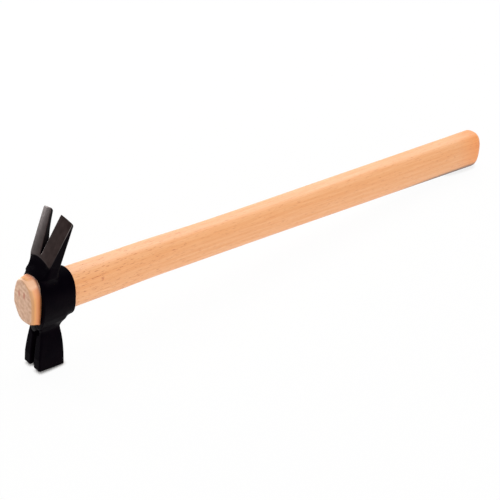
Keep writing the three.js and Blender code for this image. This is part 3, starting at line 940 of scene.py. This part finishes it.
for operation, attribute in (("COSINE", "half_width"), ("SINE", "half_height")):
    wave = add(loft, "ShaderNodeMath", {"operation": operation}, i0=turn)
    way = add(loft, "ShaderNodeMath", {"operation": "SIGN"}, i0=wave)
    wave = add(loft, "ShaderNodeMath", {"operation": "ABSOLUTE"}, i0=wave)
    wave = add(loft, "ShaderNodeMath", {"operation": "POWER"}, i0=wave, i1=exponent)
    way = add(loft, "ShaderNodeMath", {"operation": "MULTIPLY"}, i0=way, i1=wave)
    ways.append(add(loft, "ShaderNodeMath", {"operation": "MULTIPLY"}, i0=way, i1=sampled[attribute]))
ring_place = add(loft, "ShaderNodeCombineXYZ", X=reach.outputs["X"], Y=ways[0], Z=ways[1])
rings = add(loft, "GeometryNodeSetPosition", Geometry=grid.outputs["Mesh"], Position=ring_place)
rings = add(loft, "GeometryNodeMergeByDistance", Geometry=rings, Distance=ring_merge)
rings = add(loft, "GeometryNodeRealizeInstances", Geometry=rings)
rings = add(loft, "GeometryNodeSetMaterial", Geometry=rings, Material=given.outputs["Finish"])
add(loft, "NodeGroupOutput", Geometry=rings)
print("the loft's tree has", len(loft.nodes), "nodes")

# %% Loft the stick
spine = bpy.data.meshes.new("spine")
spine.from_pydata([(reach, 0, 0) for reach in stations[:, 0]],
                  [(k, k + 1) for k in range(len(stations) - 1)], [])
powers = np.where(stations[:, 0] < shoulder + 0.01, head_end_power, wood_power)
for name, values in (("half_width", stations[:, 1]), ("half_height", stations[:, 2]), ("power", powers)):
    spine.attributes.new(name, "FLOAT", "POINT").data.foreach_set("value", values.astype(np.float32))
blank = bpy.data.objects.new("handle_blank", spine)
scene.collection.objects.link(blank)
lofting = blank.modifiers.new("loft", "NODES")
lofting.node_group = loft
sockets = {item.name: item.identifier for item in loft.interface.items_tree if item.in_out == "INPUT"}
lofting[sockets["Sides"]] = wood_sides
beech, beech_tree = new_material("beech_sanded")
lofting[sockets["Finish"]] = beech
bpy.context.view_layer.update()
lofted = bpy.data.meshes.new_from_object(blank.evaluated_get(bpy.context.evaluated_depsgraph_get()))
wood_points = np.zeros(len(lofted.vertices) * 3)
lofted.vertices.foreach_get("co", wood_points)
wood_points = wood_points.reshape(-1, 3)
wood_points[:, 2] += stick_bow * np.exp(-((wood_points[:, 0] - bow_middle) / bow_reach) ** 2)
wood_faces = [tuple(face.vertices) for face in lofted.polygons]
bpy.data.objects.remove(blank)
print("lofted", len(wood_points), "points, from x", wood_points[:, 0].min(), "to", wood_points[:, 0].max())

# %% [markdown]
# The shaved head end
#
# The wood that stands out in front of the eye looks trimmed with a knife, with the cuts left as they
# were. Each cut is a plane, and so is the sawn end. The planes on the far side, which isn't seen, are
# guesses. Planes alone would leave edges like a gem's, but wood crumbles a little along every edge. So
# the planes are joined by a smooth maximum, and a point that lies outside it is walked back along its
# slope. The last touch is a small lip at the lower corner, drawn as fibres that the iron pushed up.

# %% Shave the head end
knife_cuts = [
    ((-1.00, 0.00, 0.00), 19.4), ((0.02, -1.00, 0.00), 11.8), ((-0.70, -0.71, 0.00), 21.7),
    ((-0.36, -0.46, 0.81), 22.2), ((-0.31, -0.83, 0.46), 18.3), ((-0.12, 0.20, 0.97), 21.0),
    ((-0.84, 0.05, 0.55), 27.2), ((-0.22, 0.72, 0.66), 20.3), ((-0.16, 0.96, 0.24), 15.7),
    ((-0.34, 0.80, -0.50), 19.0), ((-0.48, 0.45, -0.75), 23.2), ((-0.51, -0.10, -0.85), 26.6),
    ((-0.10, -0.10, -0.99), 18.2), ((-0.25, -0.75, -0.61), 20.8),
]
edge_crumble = 0.9
shaving_rounds, shaving_step, steepest = 30, 0.7, 60
shaving_starts = -eye_front_reach - 0.1
lip_middle = np.array([-eye_front_reach - 0.8, -10.6, -14.4])
lip_size, lip_lift = 1.3, 0.7

cut_normals = np.array([normal for normal, _ in knife_cuts])
cut_normals = cut_normals / np.linalg.norm(cut_normals, axis=1, keepdims=True)
cut_places = np.array([place for _, place in knife_cuts])
proud = wood_points[:, 0] < shaving_starts
shaved = wood_points[proud]
for _ in range(shaving_rounds):
    beyond = shaved @ cut_normals.T - cut_places
    parts = np.exp(np.clip(beyond / edge_crumble, -steepest, steepest))
    outside = edge_crumble * np.log(parts.sum(1))
    slope = (parts / parts.sum(1, keepdims=True)) @ cut_normals
    step = np.maximum(outside, 0) / (slope ** 2).sum(1)
    shaved = shaved - shaving_step * step[:, None] * slope
from_lip = np.linalg.norm(shaved - lip_middle, axis=1) / lip_size
lift = lip_lift * np.exp(-from_lip ** 2)
shaved[:, 1:] += lift[:, None] * lip_middle[1:] / np.linalg.norm(lip_middle[1:])
print("shaving moved", round(float(np.abs(shaved - wood_points[proud]).max()), 2), "mm at most")
wood_points[proud] = shaved

# %% [markdown]
# Beech
#
# Steamed beech is a pale pinkish orange, and here it is sanded and hardly oiled. Its growth rings are
# soft bands four millimetres wide that run along the stick, and its pores are hair-fine streaks, drawn
# about a millimetre wide because the real ones are too fine to show. On the end face the same rings are
# arcs. All of it is one solid pattern in the handle's own frame, so the end face and the sides agree.

# %% Rings and streaks
tree = beech_tree
in_frame, local = about_eye(tree)
wander = add(tree, "ShaderNodeMapping", Vector=local, Scale=(0.006, 0.05, 0.05))
wander = add(tree, "ShaderNodeTexNoise", Vector=wander, Scale=1.0, Detail=2.0)
wander = add(tree, "ShaderNodeVectorMath", {"operation": "MULTIPLY_ADD"},
             i0=wander.outputs["Color"], i1=(0, 9, 9), i2=local)
from_pith = add(tree, "ShaderNodeVectorMath", {"operation": "MULTIPLY_ADD"},
                i0=wander, i1=(0, 1, 1), i2=(0, -18, 46))
from_pith = add(tree, "ShaderNodeVectorMath", {"operation": "LENGTH"}, i0=from_pith)
rings = add(tree, "ShaderNodeMath", {"operation": "MULTIPLY"}, i0=from_pith.outputs["Value"], i1=1 / 4.0)
rings = add(tree, "ShaderNodeMath", {"operation": "PINGPONG"}, i0=rings, i1=0.5)
streaks = add(tree, "ShaderNodeMapping", Vector=local, Scale=(0.035, 0.95, 0.95))
streaks = add(tree, "ShaderNodeTexNoise", Vector=streaks, Scale=1.0, Detail=5.0, Roughness=0.6)
tone = add(tree, "ShaderNodeMath", {"operation": "MULTIPLY_ADD"}, i0=rings, i1=0.35, i2=streaks)
wood = add(tree, "ShaderNodeValToRGB", Fac=tone)
wood.color_ramp.elements[0].position = 0.3
wood.color_ramp.elements[0].color = linear("#F1AA70")
wood.color_ramp.elements[1].position = 0.95
wood.color_ramp.elements[1].color = linear("#FCC698")
print("rings and streaks take", len(tree.nodes), "nodes")

# %% [markdown]
# Painted light and shade, and flecks
#
# The upper side of the stick is a shade deeper in colour than its lower part and its top edge. That is
# painted light and shade, laid on by height: paler below, where the floor's bounce would light it, and
# deeper on the upper side. Why is not known, so the tone simply follows the height. Beech's rays show as
# short dark flecks, strong near the head and faint towards the grip.

# %% Painted light and shade round the stick, and flecks
where = add(tree, "ShaderNodeSeparateXYZ", Vector=local)
# Painted light and shade: the colour follows the height, paler below and deeper on the upper side.
height = add(tree, "ShaderNodeMapRange", Value=where.outputs["Z"], From_Min=-15.0, From_Max=15.0)
height = add(tree, "ShaderNodeValToRGB", Fac=height)
height.color_ramp.elements[0].color = linear("#FFFDFA")
height.color_ramp.elements[1].color = linear("#FCF9F4")
for place, code in ((0.35, "#FFF9EE"), (0.75, "#FFF1D9"), (0.88, "#FFF6E6")):
    stop = height.color_ramp.elements.new(place)
    stop.color = linear(code)
wood = add(tree, "ShaderNodeMix", {"data_type": "RGBA", "blend_type": "MULTIPLY"},
           i0=1.0, i6=wood, i7=height)

flecks = add(tree, "ShaderNodeMapping", Vector=local, Scale=(0.2, 1.7, 1.7))
flecks = add(tree, "ShaderNodeTexNoise", Vector=flecks, Scale=1.0, Detail=2.0, Roughness=0.5)
flecks = add(tree, "ShaderNodeMapRange", Value=flecks, From_Min=0.60, From_Max=0.70)
fleck_strength = add(tree, "ShaderNodeMapRange", Value=where.outputs["X"],
                     From_Min=60.0, From_Max=150.0, To_Min=0.9, To_Max=0.4)
flecks = add(tree, "ShaderNodeMath", {"operation": "MULTIPLY"}, i0=flecks, i1=fleck_strength)
wood = add(tree, "ShaderNodeMix", {"data_type": "RGBA", "blend_type": "MULTIPLY"},
           i0=flecks, i6=wood, i7=linear("#CF8A58"))
print("with its flecks the wood takes", len(tree.nodes), "nodes")

# %% [markdown]
# The stub and the wear
#
# The wood in front of the eye goes from a dull edge through orange to nearly black in the corner by the
# iron. The knife cut that looks up is painted pale, a painted highlight from the light above. The far end
# of the grip is a little deeper in colour, and a thin dark line runs along its underside. That line is
# painted shade under the grip, because the glowing floor hardly shows a shadow there.

# %% Stub tone, painted cut highlight, soaked grip and painted underside shade
proud_wood = add(tree, "ShaderNodeMath", {"operation": "LESS_THAN"},
                 i0=where.outputs["X"], i1=-eye_front_reach - 0.1)
facing = add(tree, "ShaderNodeNewGeometry")
facing = add(tree, "ShaderNodeSeparateXYZ", Vector=facing.outputs["Normal"])
# Painted highlight: the knife cut that faces up is mixed towards a pale colour, as the light from above
# would leave it.
painted_cut_highlight = add(tree, "ShaderNodeValToRGB", Fac=facing.outputs["Z"])
painted_cut_highlight.color_ramp.elements[0].position = 0.52
painted_cut_highlight.color_ramp.elements[1].position = 0.62
painted_cut_highlight.color_ramp.elements[1].color = (0.85, 0.85, 0.85, 1)
for place, shade in ((0.85, 0.85), (0.95, 0)):
    stop = painted_cut_highlight.color_ramp.elements.new(place)
    stop.color = (shade, shade, shade, 1)
# The stub grows darker towards the iron, nearly black in the corner.
stub_tone_to_iron = add(tree, "ShaderNodeMapRange", Value=where.outputs["X"],
            From_Min=-head_end_reach, From_Max=-eye_front_reach - 0.3)
stub_tone_to_iron = add(tree, "ShaderNodeValToRGB", Fac=stub_tone_to_iron)
stub_tone_to_iron.color_ramp.elements[0].color = linear("#D9A67C")
stub_tone_to_iron.color_ramp.elements[1].color = linear("#4A2610")
for place, code in ((0.12, "#D29A66"), (0.24, "#D2925A"), (0.36, "#EFA85F"), (0.55, "#EE9C62"),
                    (0.7, "#E08A4C"), (0.84, "#C06E30"), (0.94, "#8A4A1E")):
    stop = stub_tone_to_iron.color_ramp.elements.new(place)
    stop.color = linear(code)
wood = add(tree, "ShaderNodeMix", {"data_type": "RGBA"}, i0=proud_wood, i6=wood, i7=stub_tone_to_iron)
off_iron = add(tree, "ShaderNodeMapRange", Value=where.outputs["X"],
               From_Min=-eye_front_reach - 0.9, From_Max=-eye_front_reach - 2.2)
painted_cut_highlight = add(tree, "ShaderNodeMath", {"operation": "MULTIPLY"}, i0=painted_cut_highlight, i1=off_iron)
wood = add(tree, "ShaderNodeMix", {"data_type": "RGBA"}, i0=painted_cut_highlight, i6=wood, i7=linear("#FFC9A2"))
soaked = add(tree, "ShaderNodeMapRange", Value=where.outputs["X"],
             From_Min=grip_end_reach - 30, From_Max=grip_end_reach - 5)
wood = add(tree, "ShaderNodeMix", {"data_type": "RGBA", "blend_type": "MULTIPLY"},
           i0=soaked, i6=wood, i7=linear("#FFE2B8"))
# Painted shade: a dark line on the grip's underside where it comes near the floor.
under = add(tree, "ShaderNodeMapRange", Value=facing.outputs["Z"], From_Min=-0.25, From_Max=-0.55)
off_floor = add(tree, "ShaderNodeSeparateXYZ", Vector=in_frame)
painted_underside_shade = add(tree, "ShaderNodeMapRange", Value=off_floor.outputs["Z"], From_Min=0.013, From_Max=0.008)
painted_underside_shade = add(tree, "ShaderNodeMath", {"operation": "MULTIPLY"}, i0=painted_underside_shade, i1=under)
wood = add(tree, "ShaderNodeMix", {"data_type": "RGBA"}, i0=painted_underside_shade, i6=wood, i7=linear("#5E3C28"))
print("with its wear the wood takes", len(tree.nodes), "nodes")

# %% [markdown]
# The end grain
#
# Sawn across, beech is duller and more even: the rings show as faint arcs among soft clouds. The
# photograph shows two small reddish flecks near the top.

# %% End grain and the finished handle
end_grain = add(tree, "ShaderNodeMapRange", Value=where.outputs["X"],
                From_Min=-head_end_reach + 0.3, From_Max=-head_end_reach + 0.9, To_Min=1.0, To_Max=0.0)
end_clouds = add(tree, "ShaderNodeTexNoise", Vector=local, Scale=0.35, Detail=4.0, Roughness=0.6)
end_tone = add(tree, "ShaderNodeMath", {"operation": "MULTIPLY_ADD"}, i0=rings, i1=0.35, i2=end_clouds)
end_colour = add(tree, "ShaderNodeValToRGB", Fac=end_tone)
end_colour.color_ramp.elements[0].position = 0.35
end_colour.color_ramp.elements[0].color = linear("#C08C68")
end_colour.color_ramp.elements[1].position = 0.8
end_colour.color_ramp.elements[1].color = linear("#E6BC9C")
red_flecks = ((4.6, 5.7), (-1.9, 6.9))
for across, up in red_flecks:
    fleck = add(tree, "ShaderNodeMapping", {"vector_type": "TEXTURE"}, Vector=local,
                Location=(-head_end_reach, across, up), Scale=(9, 1.0, 3.4))
    fleck = add(tree, "ShaderNodeVectorMath", {"operation": "LENGTH"}, i0=fleck)
    fleck = add(tree, "ShaderNodeMapRange", Value=fleck.outputs["Value"],
                From_Min=0.5, From_Max=1.1, To_Min=1.0, To_Max=0.0)
    end_colour = add(tree, "ShaderNodeMix", {"data_type": "RGBA"},
                     i0=fleck, i6=end_colour, i7=linear("#B8583C"))
wood = add(tree, "ShaderNodeMix", {"data_type": "RGBA"}, i0=end_grain, i6=wood, i7=end_colour)
relief = add(tree, "ShaderNodeBump", Height=streaks, Distance=MM, Strength=0.05)
shader = add(tree, "ShaderNodeBsdfPrincipled", Base_Color=wood, Roughness=0.46, Normal=relief,
             Specular_IOR_Level=0.8)
add(tree, "ShaderNodeOutputMaterial", Surface=shader)

finish_piece("beech_handle", wood_points, wood_faces, beech, "handle")

# %% [markdown]
# The nail magnet
#
# The photograph shows only a dark recess with a thin faint arc in it. It is read as the end of a rod
# magnet, lacquered with the head, whose small chamfer carries a painted highlight, a shade lighter than
# the rest. A profile turned round an axis is all it takes.

# %% Turn the magnet
magnet_chamfer = 0.35
magnet_sides = 64
magnet_radius = magnet_diameter / 2
profile = [
    (0, 0), (magnet_radius * 0.5, 0), (magnet_radius - magnet_chamfer, 0),
    (magnet_radius - magnet_chamfer * 0.3, magnet_chamfer * 0.3),
    (magnet_radius, magnet_chamfer), (magnet_radius, magnet_length * 0.5),
    (magnet_radius, magnet_length), (0, magnet_length),
]
magnet_points, magnet_faces = [], []
for radius, depth in profile:
    for side in range(magnet_sides):
        turn = 2 * math.pi * side / magnet_sides
        magnet_points.append((magnet_face + depth, radius * math.cos(turn),
                              magnet_height + radius * math.sin(turn)))
for ring in range(len(profile) - 1):
    for side in range(magnet_sides):
        here, beside = ring * magnet_sides + side, ring * magnet_sides + (side + 1) % magnet_sides
        magnet_faces.append((here, beside, beside + magnet_sides, here + magnet_sides))
print("the magnet has", len(profile), "rings of", magnet_sides)

# %% Blacken the magnet
material, tree = new_material("magnet_steel_black_lacquer")
in_frame, local = about_eye(tree)
grit = add(tree, "ShaderNodeTexNoise", Vector=in_frame, Scale=900.0, Detail=3.0)
steel = add(tree, "ShaderNodeValToRGB", Fac=grit)
steel.color_ramp.elements[0].color = linear("#020202")
steel.color_ramp.elements[1].color = linear("#080708")
roughness = add(tree, "ShaderNodeMapRange", Value=grit, To_Min=0.32, To_Max=0.5)
from_axis = add(tree, "ShaderNodeVectorMath", {"operation": "MULTIPLY_ADD"},
                i0=local, i1=(0, 1, 1), i2=(0, 0, -magnet_height))
from_axis = add(tree, "ShaderNodeVectorMath", {"operation": "LENGTH"}, i0=from_axis)
# Painted highlight: the chamfer ring is a shade lighter than the rest of the magnet.
rim = add(tree, "ShaderNodeMapRange", Value=from_axis.outputs["Value"],
          From_Min=magnet_radius - magnet_chamfer - 0.1, From_Max=magnet_radius - magnet_chamfer + 0.1)
steel = add(tree, "ShaderNodeMix", {"data_type": "RGBA"}, i0=rim, i6=steel, i7=linear("#1C1A1A"))
shader = add(tree, "ShaderNodeBsdfPrincipled", Base_Color=steel, Roughness=roughness,
             Specular_IOR_Level=0.05)
add(tree, "ShaderNodeOutputMaterial", Surface=shader)
finish_piece("nail_magnet_rod", magnet_points, magnet_faces, material, "nail_magnet")

# %% [markdown]
# Measure
#
# The dressed hammer must still be the size of the imported one, so both boxes are printed.

# %% Compare the sizes
dressed_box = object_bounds()
sizes = {name: [list(corner) for corner in box]
         for name, box in (("cad", cad_box), ("dressed", dressed_box))}
for name, box in sizes.items():
    print(name, [round((high - low) * 1000, 2) for low, high in zip(*box)], "mm")
